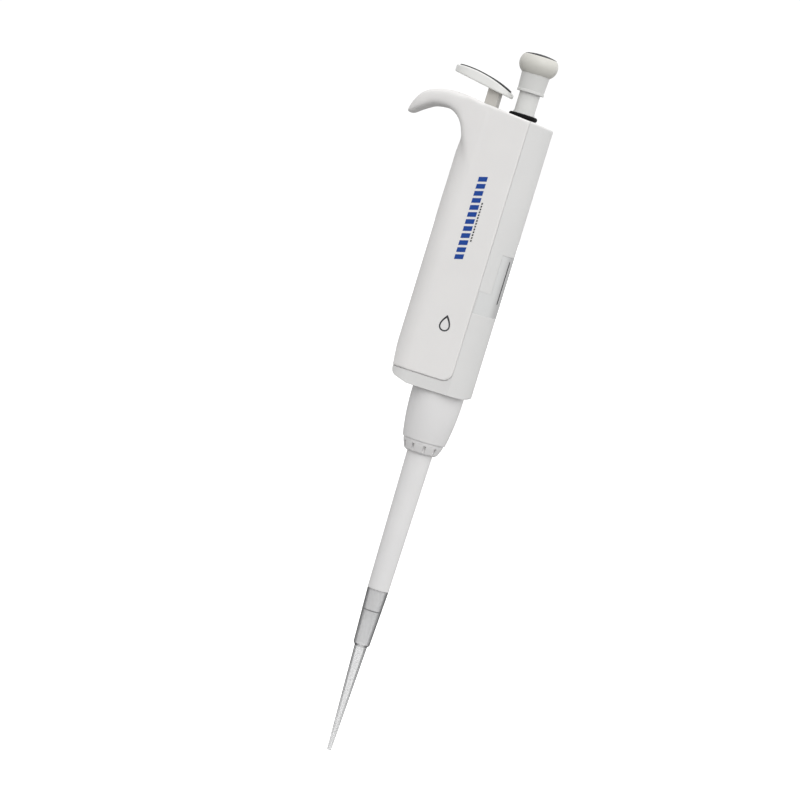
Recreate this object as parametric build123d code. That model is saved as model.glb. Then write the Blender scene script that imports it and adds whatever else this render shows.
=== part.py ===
from build123d import *
import math
import os

# Single-channel adjustable micropipette with a fitted tip, in millimetres.
# Origin: centre of the tip's orifice. +Z runs up the piston axis to the thumb button,
# +X points to the volume window, -X to the finger hook, and the grip panels face +Y and -Y.

# Fits
RUN = 0.08  # radial clearance of a running fit
SEAT = 0.05  # gap between parts that rest on each other
CUT = 1.0  # a cutting body runs this far past the faces it opens
REACH = 60.0  # bodies drawn across the whole handle reach this far

EJECT_TRAVEL = 5.5

# Pipette tip, 1000 microlitre size
TIP_TOP = 70.9
TIP_STEP_Z = 47.0
TIP_CHAMFER = 1.0
TIP_RIM_R = 4.55
TIP_STEP_R = 3.5
TIP_CONE_R = 2.7
TIP_CONE_BORE_R = 2.15
ORIFICE_R = 0.4
ORIFICE_OUTER_R = 0.85
TIP_GRIP_GAP = 0.03

# Nozzle and cylinder
NOZZLE_Z = 61.9
NOZZLE_R = 3.53
NOZZLE_TOP_Z = 71.0
NOZZLE_TOP_R = 3.93
SHAFT_TOP_R = 4.55
AIR_BORE_R = 1.6
CYLINDER_FOOT_Z = 138.2
CYLINDER_BASE_Z = 139.9
CYLINDER_TOP_Z = 161.4
CYLINDER_R = 7.4
PISTON_R = 4.75
PISTON_BORE_R = 4.85
PISTON_CHAMFER = 0.6
SEAL_Z = 156.1
SEAL_TOP_Z = 158.2
SEAL_BORE_R = 6.6
O_RING_SECTION_R = 0.8
RETAINER_Z = 159.95
FLANGE_LOW_Z = 154.5
FLANGE_HIGH_Z = 155.9
FLANGE_R = 8.4
CYLINDER_NUT_R = 9.5
CYLINDER_NUT_Z = 153.4
CYLINDER_NUT_TOP_Z = 160.5

# Ejector sleeve, lock ring and foot
SLEEVE_LOW_Z = 71.0
SLEEVE_LOW_R = 4.6
SLEEVE_LOW_BORE = 4.05
SLEEVE_TOP_R = 5.5
SLEEVE_TOP_BORE = 4.75
SLEEVE_FLANGE_Z = 134.45
SLEEVE_FLANGE_R = 7.25
LOCK_LOW_Z = 131.0
LOCK_LOW_R = 6.2
LOCK_CHIN_Z = 131.6
LOCK_CHIN_R = 7.2
LOCK_CHEEK_Z = 134.1
LOCK_CHEEK_R = 8.2
LOCK_BAND_Z = 135.4
LOCK_HIGH_Z = 136.3
LOCK_R = 8.6
LOCK_NOTCHES = 10
NOTCH_WIDTH = 1.1
NOTCH_FLOOR_R = 7.0
NOTCH_HIGH_Z = 134.6
FOOT_LOW_R = 9.2
FOOT_SIDE_Z = 144.5
FOOT_SIDE_R = 10.45
FOOT_STRAIGHT_Z = 157.6
FOOT_R = 11.1
FOOT_BORE = 10.1
FOOT_BORE_Z = 158.0
FOOT_CONE_Z = 152.5
FOOT_CONE_R = 9.75
FOOT_THROAT_Z = 148.0
FOOT_THROAT_R = 7.7
FOOT_EYE_R = 5.15
FOOT_FLOOR_Z = 137.8
FOOT_TOP_Z = 172.5
ARM_LOW_Z = 168.0
ARM_HALF_WIDTH = 3.4
ARM_END_X = -17.2
ARM_ROOT_R = 10.3

# Ejector rod and button
ROD_X = -14.4
ROD_R = 1.8
ROD_TOP_Z = 270.0
STEM_LOW_Z = 262.0
STEM_TOP_Z = 284.2
STEM_LEFT_X = -16.7
STEM_RIGHT_X = -11.5
STEM_HALF_WIDTH = 4.0
STEM_ROUND = 0.5
STEM_HOLE_GAP = 0.25
PAD_LEFT_X = -32.9
PAD_RIGHT_X = -6.4
PAD_HALF_WIDTH = 7.6
PAD_TOP_LEFT_Z = 289.9
PAD_TOP_RIGHT_Z = 284.1
PAD_CROWN = 2.0
PAD_ROUND = 0.6
PAD_UNDER_LEFT_Z = 287.1
PAD_UNDER_RIGHT_Z = 282.4
PAD_INLAY_MARGIN = 1.5
PAD_INLAY_DEPTH = 0.9
PAD_INLAY_PROUD = 0.35
CLIP_Z = 200.0
CLIP_THICK = 0.8
CLIP_R = 3.0
CLIP_SLOT_HALF_WIDTH = 0.6

# Piston drive
PISTON_LOW_Z = 149.0
PISTON_TOP_Z = 178.9
ROD_SOCKET_Z = 168.0
PLUNGER_R = 2.5
PLUNGER_TOP_Z = 299.0
STOP_LOW_Z = 180.4
STOP_HIGH_Z = 182.4
STOP_R = 8.4

# Spring housing and its springs
HOUSING_FLOOR_Z = 161.5
HOUSING_FLOOR_TOP_Z = 163.5
HOUSING_LIP_Z = 173.4
HOUSING_FLANGE_Z = 175.0
HOUSING_TOP_Z = 177.5
HOUSING_R = 9.9
HOUSING_BORE = 9.25
HOUSING_LIP_BORE = 8.6
HOUSING_FLANGE_R = 11.15
HOUSING_NECK_Z = 156.0
HOUSING_NECK_R = 8.6
HOUSING_FLOOR_BORE = 5.0
WASHER_THICK = 1.0
WASHER_R = 9.15
WASHER_BORE = 7.2
CIRCLIP_LOW_Z = 173.7
CIRCLIP_HIGH_Z = 174.9
CIRCLIP_R = 11.7
CIRCLIP_BORE = 10.35
CIRCLIP_SLOT_HALF_WIDTH = 4.4

# Coil springs, each as (mean radius, wire radius, turns)
BLOWOUT_COIL = (8.2, 0.5, 4.5)
PRIMARY_COIL = (5.9, 0.4, 8)
EJECTOR_COIL = (2.5, 0.3, 11)

# Volume drive
SCREW_LOW_Z = 182.5
SCREW_TOP_Z = 236.0
SCREW_R = 3.9
SCREW_BORE = 2.7
SCREW_KEY_Z = 230.0
NUT_LOW_Z = 190.0
NUT_FLANGE_Z = 193.0
NUT_TOP_Z = 197.6
NUT_R = 7.0
NUT_FLANGE_R = 8.5
HUB_LOW_Z = 198.3
HUB_WIDE_BORE_Z = 227.0
HUB_TOP_Z = 266.0
HUB_R = 6.2
HUB_BORE = 4.6
HUB_FLANGE_Z = 223.3
HUB_FLANGE_TOP_Z = 225.3
HUB_FLANGE_R = 8.6
CLICK_COUNT = 20
CLICK_DEPTH = 0.4
CLICK_WIDTH = 0.5
CLICK_FOOT_R = 6.5
CLICK_SPRING_R = 8.4
CLICK_SPRING_BORE = 6.6
CLICK_SPRING_THICK = 0.4
CLICK_TAB_IN_X = 7.0
CLICK_TAB_OUT_X = 10.6
CLICK_TAB_HALF_WIDTH = 1.5
CLICK_PIN_Y = 7.6
CLICK_PIN_R = 0.5
CLICK_PIN_HEIGHT = 0.8
KEY_COUNT = 4
KEY_R = 5.1
KEY_WIDTH = 1.4
KEY_GAP = 0.1

# Counter
DRUM_LOW_Z = 198.7
DRUM_PITCH = 4.95
DRUM_GAP = 0.15
DRUM_R = 9.8
DRUM_RIM = 1.0
DRUM_WEB = 1.2
FRAME_R = 10.8
FRAME_WALL = 0.7
FRAME_TOP_Z = 223.0
FRAME_TOP_PLATE = 3.5

# Thumb button and its sleeves
SLEEVE_R = 4.35
DRIVE_SLEEVE_BORE = 3.2
DRIVE_SLEEVE_LOW_Z = 252.0
DRIVE_KEY_TOP_Z = 258.0
SKIRT_LOW_Z = 287.0
SKIRT_TOP_Z = 294.9
SKIRT_LOW_R = 5.6
SKIRT_TOP_R = 6.0
SKIRT_LIP = 0.18
SKIRT_LIP_HEIGHT = 0.9
SKIRT_POCKET_R = 4.85
SKIRT_POCKET = 3.0
BUTTON_R = 8.2
BUTTON_WAIST_Z = 298.6
BUTTON_EDGE_Z = 302.1
BUTTON_EDGE_R = 7.3
BUTTON_TOP_Z = 302.6
BUTTON_TOP_R = 6.7
INLAY_R = 6.5
INLAY_LOW_Z = 301.0
INLAY_EDGE_Z = 302.5
INLAY_TOP_Z = 303.3

# Top bush and collar ring
BUSH_LOW_Z = 267.0
BUSH_FLANGE_Z = 275.0
BUSH_FLANGE_TOP_Z = 275.9
BUSH_TOP_Z = 278.6
BUSH_R = 5.6
BUSH_NECK_R = 4.65
BUSH_FLANGE_R = 6.3
RING_TOP_Z = 277.9
RING_R = 6.1
RING_ROUND = 0.85

# Handle
HANDLE_FRONT_R = 14.2
CREASE_X = 5.8
BACK_X = -22.0
FLANK_Y = 13.2
BACK_CORNER_R = 9.0
HANDLE_LOW_Z = 157.8
HANDLE_TOP_RIGHT_Z = 274.8
HANDLE_TOP_LEFT_Z = 277.7
HANDLE_TOP_LEFT_X = -16.7
WALL = 2.4
CORE_INSET = 0.35
CORE_FRONT_R = HANDLE_FRONT_R - CORE_INSET
HEEL_START_X = -12.0
HEEL_X = -19.9
HEEL_Z = 160.0
HEEL_TOP_Z = 174.0
HEEL_R = 3.4
TOE_HEIGHT = 1.5
TOE_DEPTH = 2.4
BACK_TOP_RISE = 0.5
RIM_ROUND = 0.8
STEEP = 0.3  # an edge whose direction rises more than this isn't part of the top rim
TOP_WALL_Z = 271.0
SKIRT_WELL_R = 11.25
COUNTER_WELL_R = 10.9
HOOK_BACK = ((-29.3, 279.0), (-40.2, 276.4), (-46.8, 268.0))
HOOK_TIP = ((-46.6, 265.3), (-44.3, 264.7))
HOOK_LENGTH_X = -47.3
HOOK_PLAN = ((-12.0, 13.3), (-24.0, 12.0), (-36.0, 9.2), (-44.5, 6.6))
HOOK_ROUND_X = -31.6
HOOK_ROUND_Z = 261.3
HOOK_INNER_R = 10.4
HOOK_EDGE = 1.3
HOOK_LIP_ANGLE = 140
HOOK_ROOT_ANGLE = 12
HOOK_INSIDE_X = -12.5
HOOK_GUSSET_Z = 245.0
HOOK_INSIDE_TOP_Z = 274.0
RIB_ZS = ((177.6, 180.0), (223.1, 226.0), (256.0, 262.0))
RIB_HOLES = (COUNTER_WELL_R, 8.8, 9.0)
RIB_ROD_HOLE_R = 2.0

# Grip cover
COVER_THICK = 1.1
COVER_FRONT_X = 5.6
COVER_LOW_Z = 163.2
COVER_CORNER_R = 4.0

# Window
LENS_THICK = 1.2
LENS_LOW_Z = 193.5
LENS_STEP_Z = 203.0
LENS_TOP_Z = 219.7
LENS_WIDE_ANGLE = 64.0
LENS_NARROW_ANGLE = 40.6
LENS_GAP_ANGLE = 0.15
BEZEL_THICK = 0.65
BEZEL_ANGLE = 19.0
BEZEL_LOW_Z = 197.8
BEZEL_TOP_Z = 219.3
BEZEL_SEAT_ANGLE = 19.3
SLOT_ANGLE = 16.5
SLOT_LOW_Z = 199.0
SLOT_TOP_Z = 218.2

UP = (Align.CENTER, Align.CENTER, Align.MIN)


def disc(radius, low, high, x=0.0):
    """A round bar on the axis through (x, 0)."""
    return Pos(x, 0, low) * Cylinder(radius, high - low, align=UP)


def ring(outer, inner, low, high, x=0.0):
    """A tube on the axis through (x, 0)."""
    return disc(outer, low, high, x) - disc(inner, low - CUT, high + CUT, x)


def turned(*points):
    """A solid turned about Z from (radius, z) corners."""
    return revolve(Plane.XZ * make_face(Polyline(*points, close=True)), Axis.Z)


def block(x_low, x_high, half_width, z_low, z_high):
    """A box centred on the XZ plane."""
    centre = Pos((x_low + x_high) / 2, 0, (z_low + z_high) / 2)
    return centre * Box(x_high - x_low, 2 * half_width, z_high - z_low)


def sector(outer, inner, half_angle, low, high):
    """The part of a tube within half_angle degrees of +X."""
    spread = REACH * math.tan(math.radians(half_angle))
    wedge = make_face(Polyline((0, 0), (REACH, -spread), (REACH, spread), close=True))
    return ring(outer, inner, low, high) & (Pos(0, 0, low) * extrude(wedge, high - low))


def keys(radius, width, low, high):
    """Four bars across the axis, which make keys on a shaft or slots in a bore."""
    bars = [
        Rot(0, 0, turn * 180 / (KEY_COUNT / 2)) * block(-radius, radius, width / 2, low, high)
        for turn in range(KEY_COUNT // 2)
    ]
    return bars[0] + bars[1:]


def coil_spring(coil, low, high, x=0.0):
    """A helical compression spring between two planes."""
    mean_radius, wire_radius, turns = coil
    span = high - low - 2 * wire_radius
    path = Helix(span / turns, span, mean_radius)
    wire = Plane(origin=path @ 0, z_dir=path % 0) * Circle(wire_radius)
    return Pos(x, 0, low + wire_radius) * sweep(wire, path=path, is_frenet=True)


# ---- Tip ----


def nozzle_radius(z):
    """Outer radius of the nozzle's taper at a height."""
    slope = (NOZZLE_TOP_R - NOZZLE_R) / (NOZZLE_TOP_Z - NOZZLE_Z)
    return NOZZLE_R + slope * (z - NOZZLE_Z)


def pipette_tip():
    cone_top = TIP_STEP_Z - TIP_CHAMFER
    return turned(
        (ORIFICE_R, 0),
        (ORIFICE_OUTER_R, 0),
        (TIP_CONE_R, cone_top),
        (TIP_STEP_R, TIP_STEP_Z),
        (TIP_RIM_R, TIP_TOP),
        (nozzle_radius(TIP_TOP) + TIP_GRIP_GAP, TIP_TOP),
        (nozzle_radius(TIP_STEP_Z) + TIP_GRIP_GAP, TIP_STEP_Z),
        (TIP_CONE_BORE_R, cone_top),
    )


# ---- Cylinder and piston ----


def cylinder_shaft():
    outside = turned(
        (0, NOZZLE_Z),
        (NOZZLE_R, NOZZLE_Z),
        (NOZZLE_TOP_R, NOZZLE_TOP_Z),
        (SHAFT_TOP_R, CYLINDER_FOOT_Z),
        (CYLINDER_R, CYLINDER_FOOT_Z),
        (CYLINDER_R, FLANGE_LOW_Z),
        (FLANGE_R, FLANGE_LOW_Z),
        (FLANGE_R, FLANGE_HIGH_Z),
        (CYLINDER_R, FLANGE_HIGH_Z),
        (CYLINDER_R, CYLINDER_TOP_Z),
        (0, CYLINDER_TOP_Z),
    )
    bore = disc(PISTON_BORE_R, CYLINDER_BASE_Z, CYLINDER_TOP_Z + CUT)
    air_channel = disc(AIR_BORE_R, NOZZLE_Z - CUT, CYLINDER_BASE_Z + CUT)
    return outside - bore - air_channel - disc(SEAL_BORE_R, SEAL_Z, CYLINDER_TOP_Z + CUT)


def piston():
    body = disc(PISTON_R, PISTON_LOW_Z, PISTON_TOP_Z)
    body = chamfer(body.edges().group_by(Axis.Z)[0], PISTON_CHAMFER)
    return body - disc(PLUNGER_R, ROD_SOCKET_Z, PISTON_TOP_Z + CUT)


def piston_seal():
    return ring(SEAL_BORE_R, PISTON_R + SEAT, SEAL_Z + SEAT, SEAL_TOP_Z)


def seal_o_ring():
    centre = Pos(PISTON_R + SEAT + O_RING_SECTION_R, SEAL_TOP_Z + SEAT + O_RING_SECTION_R)
    return revolve(Plane.XZ * centre * Circle(O_RING_SECTION_R), Axis.Z)


def seal_retainer():
    return ring(SEAL_BORE_R, PISTON_R + RUN, RETAINER_Z, CYLINDER_TOP_Z)


def cylinder_nut():
    body = disc(CYLINDER_NUT_R, CYLINDER_NUT_Z, CYLINDER_NUT_TOP_Z)
    body -= disc(CYLINDER_R + SEAT, CYLINDER_NUT_Z - CUT, FLANGE_LOW_Z)
    body -= disc(HOUSING_NECK_R + SEAT, FLANGE_LOW_Z - SEAT, HOUSING_FLOOR_Z)
    return body


# ---- Ejector ----


def ejector_sleeve():
    flange_top = LOCK_HIGH_Z - SEAT
    return turned(
        (SLEEVE_LOW_BORE, SLEEVE_LOW_Z),
        (SLEEVE_LOW_R, SLEEVE_LOW_Z),
        (SLEEVE_TOP_R, LOCK_LOW_Z),
        (SLEEVE_TOP_R, SLEEVE_FLANGE_Z),
        (SLEEVE_FLANGE_R, SLEEVE_FLANGE_Z),
        (SLEEVE_FLANGE_R, flange_top),
        (SLEEVE_TOP_BORE, flange_top),
        (SLEEVE_TOP_BORE, LOCK_LOW_Z),
    )


def lock_ring():
    body = turned(
        (SLEEVE_TOP_R + SEAT, LOCK_LOW_Z),
        (LOCK_LOW_R, LOCK_LOW_Z),
        (LOCK_CHIN_R, LOCK_CHIN_Z),
        (LOCK_CHEEK_R, LOCK_CHEEK_Z),
        (LOCK_R, LOCK_BAND_Z),
        (LOCK_R, LOCK_HIGH_Z),
        (SLEEVE_FLANGE_R + SEAT, LOCK_HIGH_Z),
        (SLEEVE_FLANGE_R + SEAT, SLEEVE_FLANGE_Z - SEAT),
        (SLEEVE_TOP_R + SEAT, SLEEVE_FLANGE_Z - SEAT),
    )
    notch = block(NOTCH_FLOOR_R, LOCK_R + CUT, NOTCH_WIDTH / 2, LOCK_LOW_Z - CUT, NOTCH_HIGH_Z)
    return body - [Rot(0, 0, 360 * step / LOCK_NOTCHES) * notch for step in range(LOCK_NOTCHES)]


def ejector_foot():
    """The skirt below the handle, with an arm inside the handle that carries the rod."""
    side = ThreePointArc(
        (FOOT_LOW_R, LOCK_HIGH_Z), (FOOT_SIDE_R, FOOT_SIDE_Z), (FOOT_R, FOOT_STRAIGHT_Z)
    )
    rest = Polyline(
        (FOOT_R, FOOT_STRAIGHT_Z),
        (FOOT_R, FOOT_TOP_Z),
        (FOOT_BORE, FOOT_TOP_Z),
        (FOOT_BORE, FOOT_BORE_Z),
        (FOOT_CONE_R, FOOT_CONE_Z),
        (FOOT_THROAT_R, FOOT_THROAT_Z),
        (FOOT_THROAT_R, FOOT_FLOOR_Z),
        (FOOT_EYE_R, FOOT_FLOOR_Z),
        (FOOT_EYE_R, LOCK_HIGH_Z),
        (FOOT_LOW_R, LOCK_HIGH_Z),
    )
    body = revolve(Plane.XZ * make_face(side + rest), Axis.Z)
    arm = block(ARM_END_X, -ARM_ROOT_R, ARM_HALF_WIDTH, ARM_LOW_Z, FOOT_TOP_Z)
    arm -= disc(ARM_ROOT_R, ARM_LOW_Z - CUT, FOOT_TOP_Z + CUT)
    return body + arm - disc(ROD_R, ARM_LOW_Z + CUT, FOOT_TOP_Z + CUT, ROD_X)


def ejector_rod():
    return disc(ROD_R, ARM_LOW_Z + CUT, ROD_TOP_Z, ROD_X)


def rod_clip():
    top = CLIP_Z + CLIP_THICK
    clip = ring(CLIP_R, ROD_R, CLIP_Z, top, ROD_X)
    return clip - block(ROD_X - CLIP_R - CUT, ROD_X, CLIP_SLOT_HALF_WIDTH, CLIP_Z - CUT, top + CUT)


def ejector_stem():
    body = block(STEM_LEFT_X, STEM_RIGHT_X, STEM_HALF_WIDTH, STEM_LOW_Z, STEM_TOP_Z)
    body = fillet(body.edges().filter_by(Axis.Z), STEM_ROUND)
    body -= disc(ROD_R, STEM_LOW_Z - CUT, ROD_TOP_Z, ROD_X)
    return body - pad_slab(0.0, 0.0)


def pad_plan(margin):
    """The oblong outline of the ejector button, seen from above."""
    length = PAD_RIGHT_X - PAD_LEFT_X - 2 * margin
    slot = SlotOverall(length, 2 * (PAD_HALF_WIDTH - margin))
    return Pos((PAD_LEFT_X + PAD_RIGHT_X) / 2, 0, HANDLE_TOP_RIGHT_Z) * extrude(slot, REACH)


def pad_slab(margin, rise):
    """The ejector button's side profile with its crown raised, through its plan."""
    top_left = (PAD_LEFT_X, PAD_TOP_LEFT_Z + rise)
    top_right = (PAD_RIGHT_X, PAD_TOP_RIGHT_Z + rise)
    middle_z = (PAD_TOP_LEFT_Z + PAD_TOP_RIGHT_Z) / 2 + PAD_CROWN + rise
    top = ThreePointArc(top_left, ((PAD_LEFT_X + PAD_RIGHT_X) / 2, middle_z), top_right)
    rest = Polyline(
        top_right, (PAD_RIGHT_X, PAD_UNDER_RIGHT_Z), (PAD_LEFT_X, PAD_UNDER_LEFT_Z), top_left
    )
    return pad_plan(margin) & across(make_face(top + rest))


def pad_pocket(margin):
    """Everything of the button's plan above the inlay's seat."""
    return pad_plan(margin) - pad_slab(0.0, -PAD_INLAY_DEPTH)


def ejector_button():
    body = pad_slab(0.0, 0.0)
    rims = body.edges().filter_by(lambda edge: edge.length > PAD_HALF_WIDTH)
    body = fillet(rims, PAD_ROUND)
    return body - pad_pocket(PAD_INLAY_MARGIN)


def ejector_inlay():
    cap = pad_slab(PAD_INLAY_MARGIN + SEAT, PAD_INLAY_PROUD)
    return cap & pad_pocket(PAD_INLAY_MARGIN + SEAT)


# ---- Piston drive ----


def plunger_rod():
    return disc(PLUNGER_R, ROD_SOCKET_Z, PLUNGER_TOP_Z)


def stop_collar():
    return ring(STOP_R, PLUNGER_R, STOP_LOW_Z, STOP_HIGH_Z)


def spring_housing():
    body = disc(HOUSING_R, HOUSING_FLOOR_Z, HOUSING_TOP_Z)
    body += disc(HOUSING_FLANGE_R, HOUSING_FLANGE_Z, HOUSING_TOP_Z)
    body += disc(HOUSING_NECK_R, HOUSING_NECK_Z, HOUSING_FLOOR_Z)
    body -= disc(CYLINDER_R + SEAT, HOUSING_NECK_Z - CUT, HOUSING_FLOOR_Z)
    body -= disc(HOUSING_FLOOR_BORE, HOUSING_FLOOR_Z - CUT, HOUSING_FLOOR_TOP_Z + CUT)
    body -= disc(HOUSING_BORE, HOUSING_FLOOR_TOP_Z, HOUSING_LIP_Z)
    return body - disc(HOUSING_LIP_BORE, HOUSING_LIP_Z - CUT, HOUSING_TOP_Z + CUT)


def housing_circlip():
    low, high = CIRCLIP_LOW_Z, CIRCLIP_HIGH_Z
    clip = ring(CIRCLIP_R, CIRCLIP_BORE, low, high)
    return clip - block(-CIRCLIP_R - CUT, 0, CIRCLIP_SLOT_HALF_WIDTH, low - CUT, high + CUT)


def blowout_washer():
    top = HOUSING_LIP_Z - SEAT
    return ring(WASHER_R, WASHER_BORE, top - WASHER_THICK, top)


def blowout_spring():
    low = HOUSING_FLOOR_TOP_Z + SEAT
    return coil_spring(BLOWOUT_COIL, low, HOUSING_LIP_Z - WASHER_THICK - 2 * SEAT)


def primary_spring():
    return coil_spring(PRIMARY_COIL, HOUSING_FLOOR_TOP_Z + SEAT, STOP_LOW_Z - SEAT)


def ejector_spring():
    return coil_spring(EJECTOR_COIL, RIB_ZS[0][1] + SEAT, CLIP_Z - SEAT, ROD_X)


# ---- Volume drive and counter ----


def volume_screw():
    body = disc(SCREW_R, SCREW_LOW_Z, SCREW_TOP_Z)
    body += disc(HUB_BORE - RUN, SCREW_KEY_Z, SCREW_TOP_Z)
    body += keys(KEY_R, KEY_WIDTH, SCREW_KEY_Z, SCREW_TOP_Z)
    return body - disc(SCREW_BORE, SCREW_LOW_Z - CUT, SCREW_TOP_Z + CUT)


def volume_nut():
    body = disc(NUT_R, NUT_LOW_Z, NUT_TOP_Z) + disc(NUT_FLANGE_R, NUT_LOW_Z, NUT_FLANGE_Z)
    return body - disc(SCREW_R + RUN, NUT_LOW_Z - CUT, NUT_TOP_Z + CUT)


def drive_hub():
    body = disc(HUB_R, HUB_LOW_Z, HUB_TOP_Z) + disc(HUB_FLANGE_R, HUB_FLANGE_Z, HUB_FLANGE_TOP_Z)
    body -= disc(SCREW_R + RUN, HUB_LOW_Z - CUT, HUB_WIDE_BORE_Z)
    body -= disc(HUB_BORE, HUB_WIDE_BORE_Z, HUB_TOP_Z + CUT)
    body -= keys(KEY_R + KEY_GAP, KEY_WIDTH + 2 * KEY_GAP, HUB_WIDE_BORE_Z, HUB_TOP_Z + CUT)
    groove_low = HUB_FLANGE_TOP_Z - CLICK_DEPTH
    groove = block(CLICK_FOOT_R, HUB_FLANGE_R + CUT, CLICK_WIDTH / 2, groove_low, groove_low + CUT)
    return body - [Rot(0, 0, 360 * step / CLICK_COUNT) * groove for step in range(CLICK_COUNT)]


def click_spring():
    """A leaf ring held by two tabs, with a pin over the hub's grooves."""
    low = RIB_ZS[1][1] + SEAT
    high = low + CLICK_SPRING_THICK
    body = ring(CLICK_SPRING_R, CLICK_SPRING_BORE, low, high)
    for x_low, x_high in ((-CLICK_TAB_OUT_X, -CLICK_TAB_IN_X), (CLICK_TAB_IN_X, CLICK_TAB_OUT_X)):
        body += block(x_low, x_high, CLICK_TAB_HALF_WIDTH, low, high)
    pin = Cylinder(CLICK_PIN_R, CLICK_PIN_HEIGHT, align=UP)
    return body + Pos(0, CLICK_PIN_Y, HUB_FLANGE_TOP_Z + SEAT) * pin


def number_drum(place, bore):
    """One counter drum: a rim on a web, open from above."""
    low = DRUM_LOW_Z + place * DRUM_PITCH
    high = low + DRUM_PITCH - DRUM_GAP
    body = ring(DRUM_R, bore, low, high)
    return body - ring(DRUM_R - DRUM_RIM, bore + DRUM_RIM, low + DRUM_WEB, high + CUT)


def counter_frame():
    body = disc(FRAME_R, NUT_FLANGE_Z, FRAME_TOP_Z)
    inside = FRAME_R - FRAME_WALL
    hollow_top = FRAME_TOP_Z - FRAME_TOP_PLATE
    body -= disc(inside, NUT_TOP_Z, hollow_top)
    body -= block(0, FRAME_R + CUT, FRAME_R + CUT, NUT_TOP_Z, hollow_top)
    body -= disc(NUT_R + SEAT, NUT_FLANGE_Z - CUT, NUT_TOP_Z + CUT)
    return body - disc(HUB_R + RUN, NUT_TOP_Z, FRAME_TOP_Z + CUT)


def hub_bearing():
    low, high = RIB_ZS[2]
    return ring(RIB_HOLES[2], HUB_R + RUN, low, high)


# ---- Thumb button ----


def drive_sleeve():
    body = disc(SLEEVE_R, DRIVE_SLEEVE_LOW_Z, SKIRT_TOP_Z)
    body += keys(KEY_R, KEY_WIDTH, DRIVE_SLEEVE_LOW_Z, DRIVE_KEY_TOP_Z)
    return body - disc(DRIVE_SLEEVE_BORE, DRIVE_SLEEVE_LOW_Z - CUT, SKIRT_TOP_Z + CUT)


def button_skirt():
    lip_z = SKIRT_LOW_Z + SKIRT_LIP_HEIGHT
    body = turned(
        (0, SKIRT_LOW_Z),
        (SKIRT_LOW_R + SKIRT_LIP, SKIRT_LOW_Z),
        (SKIRT_LOW_R + SKIRT_LIP, lip_z),
        (SKIRT_LOW_R, lip_z + SKIRT_LIP),
        (SKIRT_TOP_R, SKIRT_TOP_Z),
        (0, SKIRT_TOP_Z),
    )
    body -= disc(SLEEVE_R, SKIRT_LOW_Z - CUT, SKIRT_TOP_Z + CUT)
    return body - disc(SKIRT_POCKET_R, SKIRT_LOW_Z - CUT, SKIRT_LOW_Z + SKIRT_POCKET)


def thumb_button():
    side = ThreePointArc(
        (SKIRT_TOP_R, SKIRT_TOP_Z), (BUTTON_R, BUTTON_WAIST_Z), (BUTTON_EDGE_R, BUTTON_EDGE_Z)
    )
    rest = Polyline(
        (BUTTON_EDGE_R, BUTTON_EDGE_Z),
        (BUTTON_TOP_R, BUTTON_TOP_Z),
        (0, BUTTON_TOP_Z),
        (0, SKIRT_TOP_Z),
        (SKIRT_TOP_R, SKIRT_TOP_Z),
    )
    body = revolve(Plane.XZ * make_face(side + rest), Axis.Z)
    body -= disc(INLAY_R, INLAY_LOW_Z, BUTTON_TOP_Z + CUT)
    return body - disc(PLUNGER_R, SKIRT_TOP_Z - CUT, PLUNGER_TOP_Z)


def button_inlay():
    """The domed disc let into the thumb button's top."""
    radius = INLAY_R - SEAT
    crown = ThreePointArc((-radius, INLAY_EDGE_Z), (0, INLAY_TOP_Z), (radius, INLAY_EDGE_Z))
    base = Polyline(
        (radius, INLAY_EDGE_Z), (radius, INLAY_LOW_Z), (-radius, INLAY_LOW_Z), (-radius, INLAY_EDGE_Z)
    )
    half = make_face(crown + base) & Pos(REACH / 2, INLAY_LOW_Z) * Rectangle(REACH, REACH)
    return revolve(Plane.XZ * half, Axis.Z)


# ---- Top of the handle ----


def top_bush():
    body = disc(BUSH_R, BUSH_LOW_Z, BUSH_FLANGE_TOP_Z)
    body += disc(BUSH_FLANGE_R, BUSH_FLANGE_Z, BUSH_FLANGE_TOP_Z)
    body += disc(BUSH_NECK_R, BUSH_FLANGE_TOP_Z, BUSH_TOP_Z)
    return body - disc(SLEEVE_R + RUN, BUSH_LOW_Z - CUT, BUSH_TOP_Z + CUT)


def collar_ring():
    body = ring(RING_R, BUSH_NECK_R, BUSH_FLANGE_TOP_Z + SEAT, RING_TOP_Z)
    outer = body.edges().filter_by(GeomType.CIRCLE).group_by(SortBy.RADIUS)[-1]
    return fillet(outer, RING_ROUND)


# ---- Handle ----


def handle_section(inset=0.0):
    """The handle's outline across the axis: round front, flat flanks, rounded back."""
    front_r = HANDLE_FRONT_R - inset
    flank_y = FLANK_Y - inset
    back_x = BACK_X + inset
    corner_r = BACK_CORNER_R - inset
    crease_y = math.sqrt(front_r**2 - CREASE_X**2)
    flank_x = back_x + corner_r
    corner_y = flank_y - corner_r
    slant = corner_r * math.sqrt(0.5)
    front = ThreePointArc((CREASE_X, -crease_y), (front_r, 0), (CREASE_X, crease_y))
    left = ThreePointArc((flank_x, flank_y), (flank_x - slant, corner_y + slant), (back_x, corner_y))
    right = ThreePointArc(
        (back_x, -corner_y), (flank_x - slant, -corner_y - slant), (flank_x, -flank_y)
    )
    left_flank = Line((CREASE_X, crease_y), (flank_x, flank_y))
    right_flank = Line((flank_x, -flank_y), (CREASE_X, -crease_y))
    back = Line((back_x, corner_y), (back_x, -corner_y))
    return make_face(front + left_flank + left + back + right + right_flank)


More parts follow.
